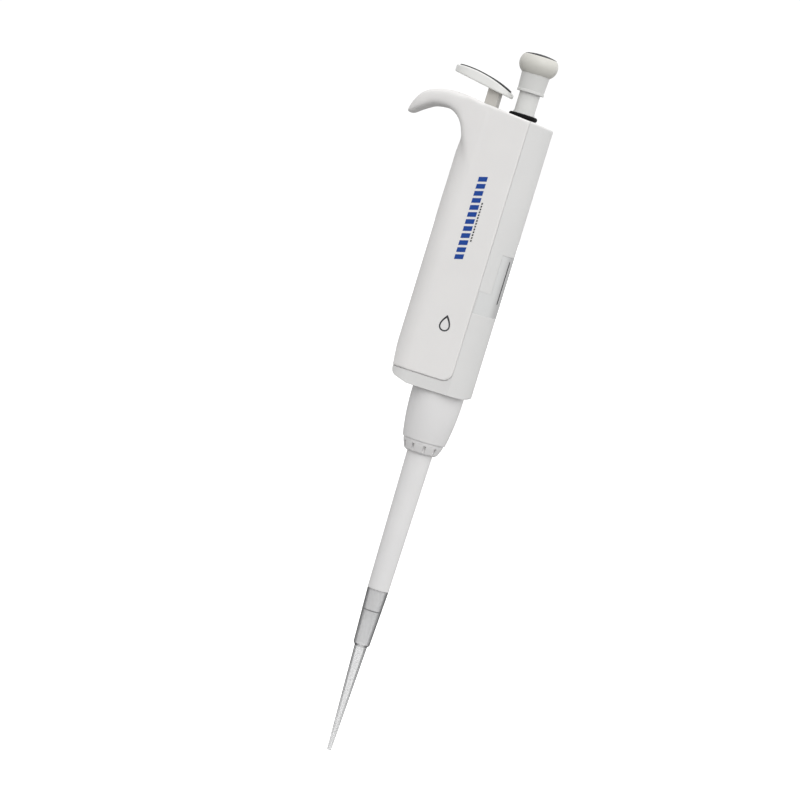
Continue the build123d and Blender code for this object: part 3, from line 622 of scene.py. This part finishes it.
def coil_line(node, wire_radius, turns, dead_turns):
    """The wire's middle and outward direction at each step between a CAD spring's two ends."""
    bottom, top = low(node), high(node)
    mean_radius = (top.x - bottom.x) / 2 - wire_radius
    start, end = bottom.z + wire_radius, top.z - wire_radius
    close_rise = 2 * wire_radius * dead_turns
    bends = (0.0, dead_turns, turns - dead_turns, turns)
    heights = (start, start + close_rise, end - close_rise, end)
    for turn in np.linspace(0.0, turns, int(turns * COIL_STEPS_PER_TURN) + 1):
        angle = 2 * math.pi * turn
        outward = Vector((math.cos(angle), math.sin(angle), 0.0))
        foot = Vector(((top.x + bottom.x) / 2, 0.0, np.interp(turn, bends, heights)))
        yield foot + outward * mean_radius, outward


def coil_mesh(name, node, wire_radius, turns, dead_turns):
    """A round wire wound between a CAD spring's two ends, its end coils closed up."""
    vertices = []
    for centre, outward in coil_line(node, wire_radius, turns, dead_turns):
        for side in range(WIRE_SIDES):
            swing = 2 * math.pi * side / WIRE_SIDES
            offset = outward * math.cos(swing) + Vector((0.0, 0.0, math.sin(swing)))
            vertices.append((centre + offset * wire_radius) * MM)
    faces = ring_faces(len(vertices) // WIRE_SIDES, WIRE_SIDES)
    faces.append(tuple(reversed(range(WIRE_SIDES))))
    faces.append(tuple(range(len(vertices) - WIRE_SIDES, len(vertices))))
    mesh = new_mesh(name, vertices, faces)
    mesh.shade_smooth()
    return mesh


def wound_springs():
    """Round-wire coil springs in place of the CAD springs, each with its own mesh."""
    for node, wire_radius, turns, dead_turns, joint, share in SPRINGS:
        name = node + "_coil"
        piece = add_piece(name, coil_mesh(name, node, wire_radius, turns, dead_turns), "handle", "steel")
        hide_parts(node)
        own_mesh(piece)


# ---- Prints ----


def flank_print(name, outline, faces, material):
    """A flat print on the near flank from (x, z) points."""
    outside = 2 * low("grip_cover").y
    inward = Vector((0.0, 1.0, 0.0))
    vertices = [just_proud("grip_cover", Vector((x, outside, z)), inward) for x, z in outline]
    add_piece(name, new_mesh(name, vertices, faces), "handle", material)


def printed_row(name, count, low_z, pitch, width, sides, material):
    """A row of plain slanted bars up the flank."""
    left, right = sides
    lean = BAR_SLANT * (right - left)
    corners, faces = [], []
    for index in range(count):
        start = low_z + index * pitch
        end = start + width
        first = len(corners)
        corners += [(left, start), (right, start + lean), (right, end + lean), (left, end)]
        faces.append((first, first + 1, first + 2, first + 3))
    flank_print(name, corners, faces, material)


def flank_rows():
    """A broad row of bars with a fine row of dashes beside it."""
    printed_row("flank_bars", BAR_COUNT, BAR_LOW_Z, BAR_PITCH, BAR_WIDTH, BAR_X, "blue_print")
    printed_row("flank_dashes", DASH_COUNT, DASH_LOW_Z, DASH_PITCH, DASH_WIDTH, DASH_X, "dark_print")


def drop_outline(scale):
    """A drop's outline, point up, as (x, z) points. A smaller one sits a little lower."""
    points = []
    for step in range(ROUND_STEPS):
        turn = 2 * math.pi * step / ROUND_STEPS
        across = DROP_WIDTH * DROP_FULLNESS * math.sin(turn) * math.sin(turn / 2)
        rise = DROP_HEIGHT / 2 * math.cos(turn)
        sink = (1 - scale) * DROP_WIDTH * DROP_HOLE_SINK
        points.append((DROP_X + scale * across, DROP_Z + scale * rise - sink))
    return points


def drop_mark():
    """A plain drop drawn in outline."""
    points = drop_outline(1.0) + drop_outline(DROP_HOLE)
    flank_print("flank_drop", points, ring_faces(2, ROUND_STEPS), "dark_print")


def sight_lines():
    """Two dark lines on the window, left and right of the numbers."""
    radius = high("window_lens").x + PRINT_AND_SHADE_LIFT
    vertices, faces = [], []
    for middle in (-SIGHT_ANGLE, SIGHT_ANGLE):
        start = len(vertices)
        angles = (middle - SIGHT_HALF_ANGLE, middle, middle + SIGHT_HALF_ANGLE)
        for height in SIGHT_Z:
            vertices += [around(radius, math.radians(angle), height) for angle in angles]
        for corner in (start, start + 1):
            above = corner + len(angles)
            faces.append((corner, corner + 1, above + 1, above))
    add_piece("sight_lines", new_mesh("sight_lines", vertices, faces), "handle", "black")


def nozzle_line():
    """A fine dark line of painted shade round the tip where the nozzle inside it ends."""
    level = low("cylinder_shaft").z
    outside = high("lock_ring").x
    vertices = []
    for height in (level - NOZZLE_SHADE_WIDTH / 2, level + NOZZLE_SHADE_WIDTH / 2):
        for step in range(ROUND_STEPS):
            turn = 2 * math.pi * step / ROUND_STEPS
            outward = Vector((math.cos(turn), math.sin(turn), 0.0))
            start = outward * outside + Vector((0.0, 0.0, height))
            vertices.append(just_proud("pipette_tip", start, -outward))
    mesh = new_mesh("nozzle_line", vertices, ring_faces(2, ROUND_STEPS))
    mesh.shade_smooth()
    add_piece("nozzle_line", mesh, "tip", "nozzle_end_shade")


# ---- Number drums ----


def digit_outline(character):
    """A flat digit in the XY plane, as (vertices, faces)."""
    curve = bpy.data.curves.new("digit", "FONT")
    curve.body = character
    curve.size = DIGIT_HEIGHT / DIGIT_SHARE
    curve.align_x = "CENTER"
    curve.align_y = "CENTER"
    curve.resolution_u = DIGIT_STEPS
    mesh = finished_mesh(in_scene("digit", curve))
    points = [vertex.co.copy() for vertex in mesh.vertices]
    faces = [list(face.vertices) for face in mesh.polygons]
    bpy.data.meshes.remove(mesh)
    return points, faces


def drum_digits(name, node, body, labels, shown):
    """Printed digits round a drum, with the label at index shown facing +X at rest."""
    radius = high(node).x + DIGIT_LIFT
    middle = (low(node).z + high(node).z) / 2
    vertices, faces = [], []
    for step, label in enumerate(labels):
        points, loops = digit_outline(label)
        centre = -2 * math.pi * (step - shown) / DIGITS
        start = len(vertices)
        vertices += [around(radius, centre + point.x / radius, middle + point.y) for point in points]
        faces += [[start + index for index in loop] for loop in loops]
    add_piece(name, new_mesh(name, vertices, faces), body, "digit")


def counter_digits():
    """0500 in the window at rest; each drum's labels rise as the volume does."""
    counting = [str(value) for value in range(DIGITS)]
    halves = ["0", "5"] * (DIGITS // 2)
    drum_digits("units_digits", "units_drum", "volume_hub", halves, 0)
    drum_digits("tens_digits", "tens_drum", "tens", counting, 0)
    drum_digits("hundreds_digits", "hundreds_drum", "hundreds", counting, 5)
    drum_digits("thousands_digits", "thousands_drum", "thousands", counting, 0)


# ---- Stage ----


def stage_floor():
    """A plain floor under the tip that the camera sees as white."""
    level = CAD_BOX[0].z - FLOOR_GAP * MM
    reach = FLOOR_REACH * MM
    corners = [(-reach, -reach), (reach, -reach), (reach, reach), (-reach, reach)]
    mesh = new_mesh("floor", [(x, y, level) for x, y in corners], [(0, 1, 2, 3)])
    material, tree, shader = new_material("floor_white")
    feed(tree, shader, {
        "Base Color": (FLOOR_SHADE, FLOOR_SHADE, FLOOR_SHADE, 1.0),
        "Roughness": FLOOR_ROUGHNESS,
        "Emission Color": WHITE,
        "Emission Strength": maths(tree, "MULTIPLY", camera_sees(tree), WORLD_SEEN),
    })
    mesh.materials.append(material)
    in_scene("floor", mesh)


def view_directions():
    """The directions level to the camera's right and back from the object to the camera."""
    azimuth, elevation = math.radians(VIEW_AZIMUTH), math.radians(VIEW_ELEVATION)
    right = Vector((math.cos(azimuth), math.sin(azimuth), 0.0))
    front = Vector((math.sin(azimuth), -math.cos(azimuth), 0.0))
    back = front * math.cos(elevation) + Vector((0.0, 0.0, math.sin(elevation)))
    return right, back


def stage_world():
    """A white surround: pure white to the camera, and to the object dimmer from behind, left and below."""
    world = bpy.data.worlds.new("studio")
    bpy.context.scene.world = world
    world.use_nodes = True
    tree = world.node_tree
    right, back = view_directions()
    strong_side = right * WORLD_RIGHT + back * WORLD_FRONT + Vector((0.0, 0.0, WORLD_UP))
    place = tree.nodes.new("ShaderNodeTexCoord")
    facing = tree.nodes.new("ShaderNodeVectorMath")
    facing.operation = "DOT_PRODUCT"
    feed(tree, facing, {0: place.outputs["Generated"], 1: strong_side.normalized()})
    glow = mapped(tree, facing.outputs["Value"], (-1.0, 1.0), (WORLD_DIM, WORLD_BRIGHT))
    strength = tree.nodes.new("ShaderNodeMix")
    feed(tree, strength, {"Factor": camera_sees(tree), "A": glow, "B": WORLD_SEEN})
    feed(tree, tree.nodes["Background"], {"Color": WHITE, "Strength": strength.outputs["Result"]})


def stage_key_light():
    """A large soft light on the camera's side, above it and to its right."""
    data = bpy.data.lights.new("key_light", "AREA")
    data.size = KEY_SIZE * MM
    data.energy = KEY_POWER
    light = in_scene("key_light", data)
    place = Vector(KEY_PLACE) * MM
    aim = Vector((0.0, 0.0, VIEW_TARGET_Z * MM)) - place
    light.location = place
    light.rotation_euler = aim.to_track_quat("-Z", "Y").to_euler()


def stage_camera():
    """A long lens towards the near flank, leaned so that the pipette tilts in the picture."""
    level, back = view_directions()
    upright = back.cross(level)
    roll = math.radians(VIEW_ROLL)
    right = level * math.cos(roll) + upright * math.sin(roll)
    up = upright * math.cos(roll) - level * math.sin(roll)
    target = level * VIEW_TARGET_RIGHT * MM + Vector((0.0, 0.0, VIEW_TARGET_Z * MM))
    data = bpy.data.cameras.new("camera")
    data.lens = VIEW_LENS
    data.clip_start, data.clip_end = (limit * MM for limit in VIEW_CLIP)
    camera = in_scene("camera", data)
    turn = Matrix((right, up, back)).transposed().to_4x4()
    camera.matrix_world = Matrix.Translation(target + back * VIEW_DISTANCE * MM) @ turn
    bpy.context.scene.camera = camera


paint_nodes()
swell_inlays()
flank_rows()
drop_mark()
sight_lines()
nozzle_line()
counter_digits()
wound_springs()
softened_cover()
stage_floor()
stage_world()
stage_key_light()
stage_camera()
bpy.context.scene.view_settings.view_transform = "Standard"
bpy.context.scene.cycles.use_denoising = True
